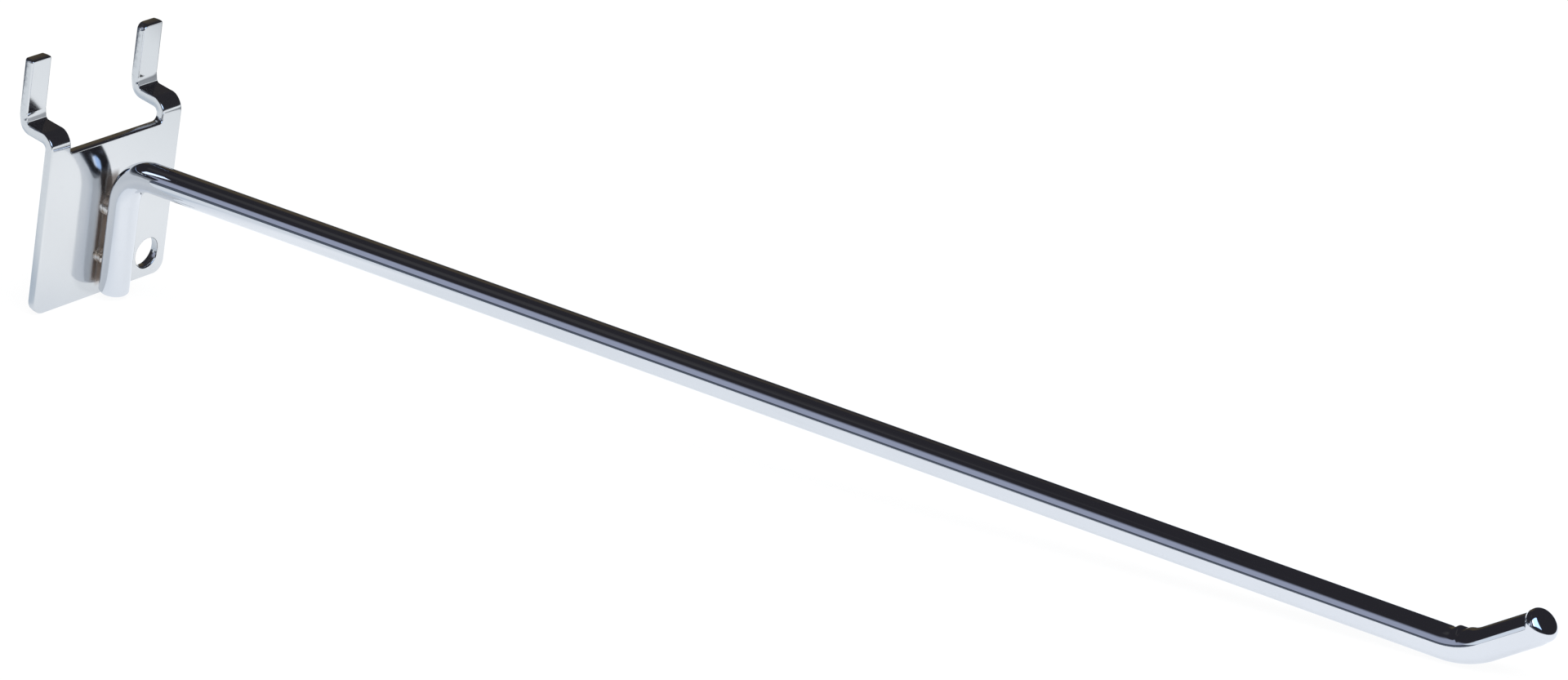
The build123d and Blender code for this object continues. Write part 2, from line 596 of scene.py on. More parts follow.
SHEET_FINISH = SheetFinish(
    name="plated_sheet", colour=(0.68, 0.69, 0.70), warm=(0.50, 0.43, 0.38), smooth=0.095,
    dull=0.05, hairlines=0.25, haze=0.35, waviness=0.5, wave_depth=0.00006,
)
WIRE_FINISH = Finish(
    name="plated_wire", colour=(0.67, 0.69, 0.725), warm=(0.50, 0.40, 0.33), smooth=0.03,
    dull=0.05, hairlines=0.25, haze=0.3, waviness=0.5, wave_depth=0.00004,
)
WELD_FINISH = WeldFinish(
    name="plated_weld", colour=(0.74, 0.74, 0.74), warm=(0.42, 0.35, 0.29), smooth=0.14,
    dull=0.20, hairlines=0.2, haze=0.5, waviness=0.5, wave_depth=0.00015,
)


# Helpers for meshes.


def only(items: Iterable[object], kind: type[Part]) -> list[Part]:
    """Items of one kind among what a mesh operation made."""
    return [item for item in items if isinstance(item, kind)]


def edges_at(verts: Iterable[bmesh.types.BMVert]) -> list[bmesh.types.BMEdge]:
    """Edges that meet at some corners, each once and always in the same order."""
    return list(dict.fromkeys(edge for vert in verts for edge in vert.link_edges))


def progress(value: float, start: float, length: float) -> float:
    """Share, from 0 to 1, that a value has covered of a length from its start."""
    return min(max((value - start) / length, 0.0), 1.0)


def round_off(
    mesh: bmesh.types.BMesh,
    geom: list[bmesh.types.BMEdge] | list[bmesh.types.BMVert],
    radius: float,
    segments: int,
    affect: str = "EDGES",
) -> None:
    """Round edges of a mesh, or corners of a flat outline.

    Args:
        mesh: The mesh.
        geom: The edges or corners.
        radius: Their radius.
        segments: Steps of the arc.
        affect: EDGES or VERTICES.
    """
    bmesh.ops.bevel(
        mesh, geom=geom, offset=radius, offset_type="OFFSET", segments=segments,
        profile=0.5, affect=affect, material=-1, clamp_overlap=False,
    )


def finish_piece(
    mesh: bmesh.types.BMesh, name: str, material: bpy.types.Material
) -> bpy.types.Object:
    """Turn a bmesh in millimetres into a smooth piece of the hook.

    Args:
        mesh: The shape, which is freed.
        name: Name of the piece and of the CAD node that it stands for.
        material: Its finish.

    Returns:
        The piece.
    """
    bmesh.ops.remove_doubles(mesh, verts=mesh.verts, dist=MERGE)
    bmesh.ops.recalc_face_normals(mesh, faces=mesh.faces)
    bmesh.ops.scale(mesh, vec=(MM, MM, MM), verts=mesh.verts)
    data = bpy.data.meshes.new(name + "_looks")
    mesh.to_mesh(data)
    mesh.free()
    data.shade_smooth()
    data.set_sharp_from_angle(angle=SHARP)
    data.materials.append(material)
    piece = bpy.data.objects.new(name + "_looks", data)
    bpy.context.scene.collection.objects.link(piece)
    weigh = piece.modifiers.new("even_normals", "WEIGHTED_NORMAL")
    weigh.keep_sharp = True
    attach(piece, "root")
    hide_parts(name)
    log.info("%s: %d faces", piece.name, len(data.polygons))
    return piece


class RoundBar:
    """A round bar that grows from a first circle, ring by ring, in the plane x = 0."""

    def __init__(self, centre: Vector, heading: Vector, radius: float, segments: int) -> None:
        """Draw the first circle.

        Args:
            centre: Middle of the circle.
            heading: Direction in which the bar grows.
            radius: Radius of the circle.
            segments: Corners of each ring.
        """
        self.mesh = bmesh.new()
        self.centre = centre.copy()
        self.heading = heading.normalized()
        turn = self.heading.to_track_quat("Z", "X").to_matrix().to_4x4()
        made = bmesh.ops.create_circle(
            self.mesh, cap_ends=False, segments=segments, radius=radius,
            matrix=Matrix.Translation(centre) @ turn,
        )
        self.ring = edges_at(made["verts"])

    def cap(self) -> None:
        """Close the open ring with one flat face."""
        bmesh.ops.edgeloop_fill(self.mesh, edges=self.ring)

    def grow(self, move: Vector, scale: float = 1.0) -> list[bmesh.types.BMVert]:
        """Add one ring, moved and scaled about its own middle.

        Args:
            move: How far the ring moves.
            scale: How much it grows.

        Returns:
            Corners of the new ring.
        """
        made = bmesh.ops.extrude_edge_only(self.mesh, edges=self.ring)["geom"]
        verts = only(made, bmesh.types.BMVert)
        corners = set(verts)
        self.ring = [edge for edge in only(made, bmesh.types.BMEdge) if set(edge.verts) <= corners]
        bmesh.ops.translate(self.mesh, vec=move, verts=verts)
        self.centre += move
        bmesh.ops.scale(self.mesh, vec=(scale,) * 3, verts=verts, space=Matrix.Translation(-self.centre))
        return verts

    def run(self, length: float, steps: int = 1) -> None:
        """Grow straight on.

        Args:
            length: Length of the run.
            steps: Rings that it is divided into.
        """
        for _ in range(steps):
            self.grow(self.heading * (length / steps))

    def bend(self, radius: float, angle: float, steps: int) -> None:
        """Grow round a bend in the plane x = 0.

        Args:
            radius: Bend radius of the bar's axis.
            angle: Turn in radians about +X, of either sign.
            steps: Rings that it is divided into.
        """
        side = SIDEWAYS.cross(self.heading) * math.copysign(radius, angle)
        pivot = self.centre + side
        turn = Matrix.Rotation(angle / steps, 4, "X")
        for _ in range(steps):
            verts = self.grow(STILL)
            around = Matrix.Translation(pivot) @ turn @ Matrix.Translation(-pivot)
            bmesh.ops.transform(self.mesh, matrix=around, verts=verts)
            self.centre = around @ self.centre
            self.heading = (turn.to_3x3() @ self.heading).normalized()


# The wire.


@dataclass(frozen=True)
class Ripple:
    """One raised or sunken line of the wrinkle inside the tip's bend.

    Attributes:
        height: Its height, below 0 for a fold.
        place: How far it lies along the bend from the wrinkle's middle.
        length: How far it spreads along the bend.
        width: How far it spreads across.
        slant: How far it runs along the bend for each millimetre across.
    """

    height: float
    place: float
    length: float
    width: float
    slant: float = 0.0

    def lift(self, along: float, across: float) -> float:
        """How far it lifts the skin at a place.

        Args:
            along: The place along the bend.
            across: The place across.

        Returns:
            The lift.
        """
        away = (along - self.place - self.slant * across) / self.length
        return self.height * (math.exp(-(away ** 2)) * math.exp(-((across / self.width) ** 2)))


@dataclass
class WireHook:
    """The bent round wire: leg, elbow, long arm, upturned tip and its sheared end.

    Attributes:
        radius: Radius of the wire.
        leg_y: The leg's axis.
        foot_z: The leg's cut end.
        corner_z: Where leg and arm axes meet.
        elbow_r: Bend radius of the elbow.
        reach: Level distance from the leg to the tip's corner.
        tilt: How far the arm climbs, in degrees.
        tip_angle: Lift of the tip, in degrees.
        tip_r: Bend radius of the tip's bend.
        tip_length: Tip's corner to its end.
        foot_rim: Rounded rim of the leg's end.
        flare_length: Length of the swollen end.
        flare_swell: Growth of its radius.
        flare_shift: Its shift towards the inside of the bend.
        flare_rim: Rounded rim of the tip's end.
        cut_angle: How far the cut leans back towards the inside of the bend, in degrees.
        wrinkle_share: Where on the bend the wrinkle stands.
        wrinkle_deep: How far past the wire's axis the wrinkle is felt.
        ripples: The lines of the wrinkle.
        first_run: Straight run between the elbow and the arm's long rings.
        last_run: Straight run with close rings before the tip's bend.
        segments: Corners of each ring.
        rim_steps: Rings of each rounded rim.
        leg_steps: Rings of the leg.
        elbow_steps: Rings of the elbow.
        arm_steps: Rings of the arm.
        close_steps: Rings of the arm's last run and of the tip's straight run.
        tip_steps: Rings of the tip's bend.
        flare_steps: Rings of the swollen end.
    """

    radius: float = 2.5
    leg_y: float = -4.86
    foot_z: float = -12.25
    corner_z: float = 9.65
    elbow_r: float = 6.5
    reach: float = 250.0
    tilt: float = 6.7
    tip_angle: float = 40.0
    tip_r: float = 13.0
    tip_length: float = 14.17
    foot_rim: float = 0.5
    flare_length: float = 2.3
    flare_swell: float = 0.12
    flare_shift: float = 0.40
    flare_rim: float = 1.1
    cut_angle: float = 13.0
    wrinkle_share: float = 0.37
    wrinkle_deep: float = 0.2
    ripples: tuple[Ripple, ...] = (
        Ripple(0.40, 0.0, 0.85, 1.1),
        Ripple(-0.16, 1.05, 0.26, 1.4, 0.25),
        Ripple(0.14, 2.1, 0.8, 1.0),
    )
    first_run: float = 1.0
    last_run: float = 6.0
    segments: int = 112
    rim_steps: int = 9
    leg_steps: int = 6
    elbow_steps: int = 72
    arm_steps: int = 40
    close_steps: int = 24
    tip_steps: int = 60
    flare_steps: int = 12

    @property
    def climb(self) -> float:
        """How far the arm climbs, in radians."""
        return math.radians(self.tilt)

    @property
    def tip_turn(self) -> float:
        """How far the tip's bend turns, in radians."""
        return math.radians(self.tip_angle) - self.climb

    @property
    def tip_back(self) -> float:
        """Distance from the tip's corner to either end of its bend."""
        return self.tip_r * math.tan(self.tip_turn / 2)

    def foot(self) -> RoundBar:
        """Start the leg at its cut end, with a rounded rim.

        Returns:
            The bar, at the end of the rim.
        """
        flat = self.radius - self.foot_rim
        end = Vector((0.0, self.leg_y, self.foot_z))
        bar = RoundBar(end, Vector((0.0, 0.0, 1.0)), flat, self.segments)
        bar.cap()
        self.rim(bar, flat, self.foot_rim, outward=True)
        return bar

    def rim(self, bar: RoundBar, start: float, rim: float, outward: bool) -> None:
        """Round a rim over a quarter turn.

        Args:
            bar: The bar.
            start: Radius of the ring where it begins.
            rim: Radius of the rounding.
            outward: True from a flat end to the wall, False from the wall to a flat end.
        """
        held, gone = start, 0.0
        for step in range(1, self.rim_steps + 1):
            angle = math.pi / 2 * step / self.rim_steps
            if outward:
                radius, along = start + rim * math.sin(angle), rim * (1 - math.cos(angle))
            else:
                radius, along = start - rim * (1 - math.cos(angle)), rim * math.sin(angle)
            bar.grow(bar.heading * (along - gone), radius / held)
            held, gone = radius, along

    def flare(self, bar: RoundBar) -> None:
        """Swollen, sheared end of the tip with its rim and flat end face.

        Args:
            bar: The bar, where the swelling begins.
        """
        inward = SIDEWAYS.cross(bar.heading) * -1.0
        along = bar.heading.copy()
        steps = self.flare_steps
        straight = self.flare_length - self.flare_rim
        reached = straight / self.flare_length
        lean = Matrix.Rotation(-math.radians(self.cut_angle) / steps, 4, "X")
        held, last = self.radius, 0.0
        for step in range(1, steps + 1):
            share = step / steps
            ease = reached * share * share * (3 - 2 * share)
            radius = self.radius + self.flare_swell * ease
            move = along * (straight / steps) + inward * self.flare_shift * (ease - last)
            verts = bar.grow(move, radius / held)
            around = Matrix.Translation(bar.centre) @ lean @ Matrix.Translation(-bar.centre)
            bmesh.ops.transform(bar.mesh, matrix=around, verts=verts)
            bar.heading = (lean.to_3x3() @ bar.heading).normalized()
            held, last = radius, ease
        self.rim(bar, held, self.flare_rim, outward=False)
        flat = held - self.flare_rim
        held = flat
        for share in END_RINGS:
            bar.grow(STILL, flat * share / held)
            held = flat * share
        bar.cap()

    def wrinkle(self, mesh: bmesh.types.BMesh) -> None:
        """Raise the crumpled skin that bending left on the inside of the tip's bend.

        Args:
            mesh: The wire's mesh in millimetres.
        """
        rise = self.reach * math.tan(self.climb)
        corner = Vector((0.0, self.leg_y - self.reach, self.corner_z + rise))
        start = corner + Vector((0.0, math.cos(self.climb), -math.sin(self.climb))) * self.tip_back
        pivot = start + Vector((0.0, math.sin(self.climb), math.cos(self.climb))) * self.tip_r
        for vert in mesh.verts:
            arm = vert.co - pivot
            flat = Vector((0.0, arm.y, arm.z))
            if flat.length > self.tip_r + self.wrinkle_deep or vert.co.y > start.y + self.last_run:
                continue
            lean = math.atan2(-arm.y, -arm.z) - self.climb
            along = (lean / self.tip_turn - self.wrinkle_share) * self.tip_turn * self.tip_r
            side = vert.co.x
            lift = sum(ripple.lift(along, side) for ripple in self.ripples)
            vert.co -= flat.normalized() * lift

    def build(self, material: bpy.types.Material) -> bpy.types.Object:
        """Make the wire.

        Args:
            material: Its finish.

        Returns:
            The piece.
        """
        elbow_turn = math.pi / 2 - self.climb
        elbow_back = self.elbow_r * math.tan(elbow_turn / 2)
        leg = self.corner_z - self.foot_z - elbow_back - self.foot_rim
        arm = self.reach / math.cos(self.climb) - elbow_back - self.tip_back
        bar = self.foot()
        bar.run(leg, self.leg_steps)
        bar.bend(self.elbow_r, elbow_turn, self.elbow_steps)
        bar.run(self.first_run)
        bar.run(arm - self.first_run - self.last_run, self.arm_steps)
        bar.run(self.last_run, self.close_steps)
        bar.bend(self.tip_r, -self.tip_turn, self.tip_steps)
        bar.run(self.tip_length - self.tip_back - self.flare_length, self.close_steps)
        self.flare(bar)
        self.wrinkle(bar.mesh)
        return finish_piece(bar.mesh, "wire_hook", material)


# The bracket.


@dataclass
class PlatedBracket:
    """The stamped and bent sheet: plate, two joggled prongs and one screw hole.

    Attributes:
        thickness: Thickness of the sheet.
        pitch: Centre to centre of the prongs.
        prong_width: Width of a prong.
        height: Bottom edge to the top edge between the prongs.
        corner_r: Lower corners.
        root_r: Concave corners at the roots of the prongs.
        neck_rise: Top edge to the first bend.
        edge_r: Rolled front edge.
        tear_start: Depth at which the sheared part of a punched edge turns into the torn part.
        tear_inset: How far the torn part falls back at the rear face.
        back_edge_r: Broken back edge.
        crisp_share: Width of the rolled edge on the short runs, as a share of the usual one.
        crisp_from: Depth at which it begins to narrow, and the length over which it does.
        upright_share: Its width on the uprights, as a share of the usual one.
        upright_from: Height at which it widens again, and the length over which it does.
        top_keep: Height below a prong's top that keeps the usual width.
        depth: Front of the plate to the front of an upright.
        turn: Turn of each bend, in degrees.
        front_bend_r: Inside radius of the bend over the plate.
        crease_r: Inside radius of the sharp crease below the upright.
        lean: How far the foot of the upright leans back, in degrees.
        lean_length: Straight length of that foot.
        lean_r: Inside radius of the soft bend above it.
        upright: Straight height of the upright.
        top_corner_r: Upper corners of the prongs.
        clipped_corner_r: Inner upper corner of the right prong.
        hole_r: Radius of the screw hole.
        hole_side: Hole's centre to the right edge.
        hole_bottom: Hole's centre to the bottom edge.
        hole_margin: Hole's edge to the square of mesh around it.
        hole_segments: Corners of the hole.
        corner_steps: Steps of a lower corner's arc.
        root_steps: Steps of a root's arc, and of an upper corner's.
        edge_steps: Steps of the rolled front edge.
        back_edge_steps: Steps of the broken back edge.
        bend_steps: Steps of each of the three bends, from the plate up.
    """

    thickness: float = 1.8
    pitch: float = 25.4
    prong_width: float = 4.4
    height: float = 27.9
    corner_r: float = 2.2
    root_r: float = 0.65
    neck_rise: float = 1.0
    edge_r: float = 0.35
    tear_start: float = 0.9
    tear_inset: float = 0.2
    back_edge_r: float = 0.20
    crisp_share: float = 0.3
    crisp_from: Span = (-1.2, 1.4)
    upright_share: float = 0.8
    upright_from: Span = (18.4, 1.1)
    top_keep: float = 1.2
    depth: float = 6.2
    turn: float = 87.0
    front_bend_r: float = 0.85
    crease_r: float = 0.5
    lean: float = 14.0
    lean_length: float = 0.5
    lean_r: float = 4.0
    upright: float = 9.0
    top_corner_r: float = 0.45
    clipped_corner_r: float = 1.1
    hole_r: float = 2.6
    hole_side: float = 4.3
    hole_bottom: float = 4.4
    hole_margin: float = 0.7
    hole_segments: int = 72
    corner_steps: int = 16
    root_steps: int = 10
    edge_steps: int = 6
    back_edge_steps: int = 2
    bend_steps: tuple[int, int, int] = (26, 20, 12)

    @property
    def side(self) -> float:
        """Distance from the middle plane to the outer edge."""
        return (self.pitch + self.prong_width) / 2

    @property
    def neck(self) -> float:
        """Height of the first bends."""
        return self.height / 2 + self.neck_rise

    def at_neck(self, face: bmesh.types.BMFace) -> bool:
        """Whether a face closes a neck, where a prong will grow."""
        return all(abs(vert.co.z - self.neck) < NEAR for vert in face.verts)

    def outline(self, mesh: bmesh.types.BMesh) -> None:
        """Draw the flat front face of the plate and its necks, with round corners.

        Args:
            mesh: Where it is drawn.
        """
        side, neck = self.side, self.neck
        inner = side - self.prong_width
        low, top = -self.height / 2, self.height / 2
        corners = (
            (-side, low), (side, low), (side, neck), (inner, neck), (inner, top),
            (-inner, top), (-inner, neck), (-side, neck),
        )
        verts = [mesh.verts.new((x, -self.thickness, z)) for x, z in corners]
        mesh.faces.new(verts)
        round_off(mesh, verts[:2], self.corner_r, self.corner_steps, "VERTICES")
        roots = [
            vert for vert in mesh.verts
            if abs(abs(vert.co.x) - inner) < NEAR and abs(vert.co.z - top) < NEAR
        ]
        round_off(mesh, roots, self.root_r, self.root_steps, "VERTICES")

    def drill(self, mesh: bmesh.types.BMesh) -> None:
        """Cut the screw hole into the flat face.

        Args:
            mesh: The flat outline.
        """
        x, z = self.side - self.hole_side, -self.height / 2 + self.hole_bottom
        half = self.hole_r + self.hole_margin
        cuts = (
            ((0, 0, self.height / 2), (0, 0, 1)),
            ((x - half, 0, 0), (1, 0, 0)),
            ((x + half, 0, 0), (1, 0, 0)),
            ((0, 0, z - half), (0, 0, 1)),
            ((0, 0, z + half), (0, 0, 1)),
        )
        for place, normal in cuts:
            geom = list(mesh.verts) + list(mesh.edges) + list(mesh.faces)
            bmesh.ops.bisect_plane(mesh, geom=geom, dist=FINE, plane_co=place, plane_no=normal)
        middle = Vector((x, -self.thickness, z))
        patch = min(mesh.faces, key=lambda face: (face.calc_center_median() - middle).length)
        rim = list(patch.edges)
        bmesh.ops.delete(mesh, geom=[patch], context="FACES_ONLY")
        cut = bmesh.ops.subdivide_edges(mesh, edges=rim, cuts=self.hole_segments // 4 - 1)
        square = [
            edge for edge in only(cut["geom_inner"] + cut["geom_split"], bmesh.types.BMEdge)
            if edge.is_boundary and max(abs(v.co.x - x) for v in edge.verts) < half + LOOSE
        ]
        place = Matrix.Translation(middle) @ Matrix.Rotation(math.pi / 2, 4, "X")
        made = bmesh.ops.create_circle(
            mesh, cap_ends=False, segments=self.hole_segments, radius=self.hole_r, matrix=place
        )
        bmesh.ops.bridge_loops(mesh, edges=list(dict.fromkeys(square)) + edges_at(made["verts"]))

    def thicken(self, mesh: bmesh.types.BMesh) -> bmesh.types.BMLayerItem:
        """Give the flat face its thickness and mark the layer of each corner.

        Args:
            mesh: The flat face.

        Returns:
            The mark that holds each corner's layer.
        """
        skin = mesh.verts.layers.int.new("skin")
        for vert in mesh.verts:
            vert[skin] = Skin.FRONT.value
        faces = list(mesh.faces)
        for kind, deep in ((Skin.TEAR, self.tear_start), (Skin.BACK, self.thickness - self.tear_start)):
            made = bmesh.ops.extrude_face_region(mesh, geom=faces, use_keep_orig=kind is Skin.TEAR)["geom"]
            moved = only(made, bmesh.types.BMVert)
            bmesh.ops.translate(mesh, vec=(0.0, deep, 0.0), verts=moved)
            for vert in moved:
                vert[skin] = kind.value
            if kind is Skin.BACK:
                bmesh.ops.delete(mesh, geom=[face for face in faces if face.is_valid], context="FACES_ONLY")
            faces = only(made, bmesh.types.BMFace)
        bmesh.ops.recalc_face_normals(mesh, faces=mesh.faces)
        self.tear(mesh, skin)
        return skin

    def tear(self, mesh: bmesh.types.BMesh, skin: bmesh.types.BMLayerItem) -> None:
        """Draw the back outline in a little: punching tears the rear part of each edge.

        Args:
            mesh: The thick sheet.
            skin: The mark that holds each corner's layer.
        """
        moves = {}
        for vert in mesh.verts:
            if vert[skin] != Skin.BACK.value:
                continue
            walls = [
                face.normal for face in vert.link_faces
                if abs(face.normal.y) < 0.5 and not self.at_neck(face)
            ]
            if walls:
                out = sum(walls, STILL)
                moves[vert] = Vector((out.x, 0.0, out.z)).normalized() * -self.tear_inset
        for vert, move in moves.items():
            vert.co += move

    def raise_prong(self, mesh: bmesh.types.BMesh, side: float) -> None:
        """Bend one prong up from its neck: front bend, short run, crease, leaning foot and upright.

        Args:
            mesh: The thick sheet.
            side: -1 for the left prong, 1 for the right one.
        """
        turn, lean = math.radians(self.turn), math.radians(self.lean)
        mid = self.thickness / 2
        front_r, crease_r, lean_r = self.front_bend_r + mid, self.crease_r + mid, self.lean_r + mid
        taken = front_r * (1 - math.cos(turn)) + crease_r * (math.cos(lean) - math.cos(turn))
        taken += self.lean_length * math.sin(lean) + lean_r * (1 - math.cos(lean))
        run = (self.depth - taken) / math.sin(turn)
        end = [
            face for face in mesh.faces
            if face.calc_center_median().x * side > 0 and self.at_neck(face)
        ]
        centre = Vector((0.0, -mid, self.neck))
        heading = Vector((0.0, 0.0, 1.0))
        bends = (
            (front_r, -turn, run), (crease_r, turn - lean, self.lean_length), (lean_r, lean, self.upright),
        )
        for (radius, angle, length), steps in zip(bends, self.bend_steps):
            pivot = centre + SIDEWAYS.cross(heading) * math.copysign(radius, angle)
            turned = Matrix.Rotation(angle / steps, 4, "X")
            turned = Matrix.Translation(pivot) @ turned @ Matrix.Translation(-pivot)
            for _ in range(steps):
                end = self.push(mesh, end, turned)
                centre = turned @ centre
                heading = turned.to_3x3() @ heading
            end = self.push(mesh, end, Matrix.Translation(heading * length))
            centre += heading * length
        self.round_top(mesh, side)

    def push(
        self, mesh: bmesh.types.BMesh, end: list[bmesh.types.BMFace], move: Matrix
    ) -> list[bmesh.types.BMFace]:
        """Extrude the end of a prong by one step.

        Args:
            mesh: The sheet.
            end: Faces at the open end.
            move: How they move.

        Returns:
            The faces at the new end.
        """
        made = bmesh.ops.extrude_face_region(mesh, geom=end)["geom"]
        bmesh.ops.transform(mesh, matrix=move, verts=only(made, bmesh.types.BMVert))
        bmesh.ops.delete(mesh, geom=[face for face in end if face.is_valid], context="FACES_ONLY")
        return only(made, bmesh.types.BMFace)

    def round_top(self, mesh: bmesh.types.BMesh, side: float) -> None:
        """Round the two upper corners of a prong.

        Args:
            mesh: The sheet.
            side: -1 for the left prong, 1 for the right one.
        """
        top = max(vert.co.z for vert in mesh.verts)
        reach = 1.5 * self.tear_inset
        for outer in (False, True):
            edge_x = side * (self.side - (0 if outer else self.prong_width))
            edges = [
                edge for edge in mesh.edges
                if all(abs(v.co.z - top) < LOOSE and abs(v.co.x - edge_x) < reach for v in edge.verts)
            ]
            radius = self.clipped_corner_r if side > 0 and not outer else self.top_corner_r
            round_off(mesh, edges, radius, self.root_steps)

    def roll_edges(self, mesh: bmesh.types.BMesh, skin: bmesh.types.BMLayerItem) -> None:
        """Mark the punched sides, then roll the front edges and break the back ones.

        Args:
            mesh: The sheet.
            skin: The mark that holds each corner's layer.
        """
        punched = mesh.verts.layers.float.new("punched")
        for vert in mesh.verts:
            vert[punched] = 1.0 if vert[skin] == Skin.TEAR.value else 0.0
        rolls = (
            (Skin.FRONT, self.edge_r, self.edge_steps), (Skin.BACK, self.back_edge_r, self.back_edge_steps),
        )
        for wanted, radius, steps in rolls:
            edges = [
                edge for edge in mesh.edges
                if len(edge.link_faces) == 2 and edge.calc_face_angle() > ROLLED
                and all(vert[skin] == wanted.value for vert in edge.verts)
            ]
            round_off(mesh, edges, radius, steps)
            if wanted is Skin.FRONT:
                self.vary_roll(mesh)

    def roll_share(self, corner: Vector) -> float:
        """How wide the rolled edge is at a place on a prong.

        Args:
            corner: Where front face and side face would meet.

        Returns:
            The width as a share of the usual one.
        """
        share = 1.0 + (self.crisp_share - 1.0) * progress(corner.y, *self.crisp_from)
        return share + (self.upright_share - share) * progress(corner.z, *self.upright_from)

    def vary_roll(self, mesh: bmesh.types.BMesh) -> None:
        """Narrow the rolled edge along the short runs, and a little along the uprights.

        Args:
            mesh: The sheet, just after its front edges were rolled.
        """
        inner = self.side - self.prong_width
        top = max(vert.co.z for vert in mesh.verts) - self.top_keep
        places = {}
        for edge_x in (-self.side, -inner, inner, self.side):
            for start in mesh.verts:
                far = abs(start.co.x - edge_x)
                if abs(far - self.edge_r) > NEAR or not self.neck - NEAR < start.co.z < top:
                    continue
                corner = Vector((edge_x, start.co.y, start.co.z))
                share = self.roll_share(corner)
                vert: bmesh.types.BMVert | None = start
                while vert is not None:
                    places[vert] = corner + (vert.co - corner) * share
                    far = abs(vert.co.x - edge_x)
                    others = [edge.other_vert(vert) for edge in vert.link_edges]
                    nearer = [other for other in others if abs(other.co.x - edge_x) < far - FINE]
                    here = vert.co
                    vert = min(nearer, key=lambda other: (other.co - here).length) if nearer else None
        for vert, place in places.items():
            vert.co = place

    def build(self, material: bpy.types.Material) -> bpy.types.Object:
        """Make the bracket.

        Args:
            material: Its finish.

        Returns:
            The piece.
        """
        mesh = bmesh.new()
        self.outline(mesh)
        self.drill(mesh)
        skin = self.thicken(mesh)
        self.raise_prong(mesh, -1.0)
        self.raise_prong(mesh, 1.0)
        self.roll_edges(mesh, skin)
        return finish_piece(mesh, "bracket", material)


# The weld nuggets.


@dataclass
class WeldNuggets:
    """Two small lumps of weld metal between plate and leg.

    Attributes:
        radius: Radius of each lump.
        gap: Space between plate and wire.
        plate_y: Front face of the plate.
        leg_y: The leg's axis.
        wire_r: Radius of the wire.
        heights: Middles of the lumps.
        sink: How far the lumps reach into the wire.
        fill: Usual size of a lump, as a share of its radius.
        lumpiness: How far the size varies.
        coarse: Coarse beads per millimetre.
        fine: Fine beads per millimetre.
        fine_share: Strength of the fine beads.
        subdivisions: Fineness of each lump's mesh.
    """

    radius: float = 1.65
    gap: float = 0.56
    plate_y: float = -1.8
    leg_y: float = -4.86
    wire_r: float = 2.5
    heights: Span = (-6.95, 1.75)
    sink: float = 0.02
    fill: float = 0.93
    lumpiness: float = 0.09
    coarse: float = 1.3
    fine: float = 4.0
    fine_share: float = 0.4
    subdivisions: int = 5

    def lump(self, mesh: bmesh.types.BMesh, height: float) -> None:
        """Squeeze one ball between plate and leg.

        Args:
            mesh: Where it goes.
            height: Its middle.
        """
        middle = Vector((0.0, self.plate_y - self.gap / 2, height))
        made = bmesh.ops.create_icosphere(
            mesh, subdivisions=self.subdivisions, radius=self.radius, matrix=Matrix.Translation(middle)
        )
        inside = self.wire_r - self.sink
        for vert in made["verts"]:
            rough = noise.noise(vert.co * self.coarse) + self.fine_share * noise.noise(vert.co * self.fine)
            vert.co = middle + (vert.co - middle) * (self.fill + self.lumpiness * rough)
            vert.co.y = min(vert.co.y, self.plate_y)
            across = Vector((vert.co.x, vert.co.y - self.leg_y))
            if across.length < inside:
                across = across.normalized() * inside
                vert.co.x, vert.co.y = across.x, across.y + self.leg_y

    def build(self, material: bpy.types.Material) -> bpy.types.Object:
        """Make both lumps.

        Args:
            material: Their finish.

        Returns:
            The piece.
        """
        mesh = bmesh.new()
        for height in self.heights:
            self.lump(mesh, height)
        return finish_piece(mesh, "weld_nuggets", material)


# The studio.


@dataclass(frozen=True)
class Glow:
    """A soft-edged patch of the dark studio that the bright metal mirrors.

    Attributes:
        azimuth: Lowest and highest direction, in degrees from +Y towards +X.
        elevation: Lowest and highest, in degrees above the table.
        soft: Half width of the soft sides, of the lower edge and of the upper edge, in degrees.
        colour: Colour of the patch.
    """

    azimuth: Span
    elevation: Span
    soft: tuple[float, float, float]
    colour: Colour

    def mask(self, nodes: Nodes, azimuth: Socket, elevation: Socket) -> Socket:
        """Mask of the patch.

        Args:
            nodes: Helper of the world's tree.
            azimuth: Direction in degrees.
            elevation: Height in degrees.

        Returns:
            1 inside the patch.
        """
        left, right = self.azimuth
        low, high = self.elevation
        wide, below, above = self.soft
        return nodes.product(
            nodes.ramp(azimuth, left - wide, left + wide),
            nodes.fall(azimuth, right - wide, right + wide),
            nodes.ramp(elevation, low - below, low + below),
            nodes.fall(elevation, high - above, high + above),
        )


class Measure(Enum):
    """What a step across the table is measured by."""

    X = 0
    Y = 1
    ASIDE = 2
    REACH = 3


@dataclass(frozen=True)
class Step:
    """A soft step across the table.

    Attributes:
        measure: X, Y, the distance from the middle plane or the distance from the origin.
        reach: Where the step begins and ends, in metres.
        ends: Values before and after it.
    """

    measure: Measure
    reach: Span
    ends: Span = (0.0, 1.0)


@dataclass(frozen=True)
class Tone:
    """A zone of the table that the metal sees in another colour.

    Attributes:
        steps: Soft steps whose product is the zone.
        strength: How much of the colour shows there.
        colour: The colour.
    """

    steps: tuple[Step, ...]
    strength: float
    colour: Colour


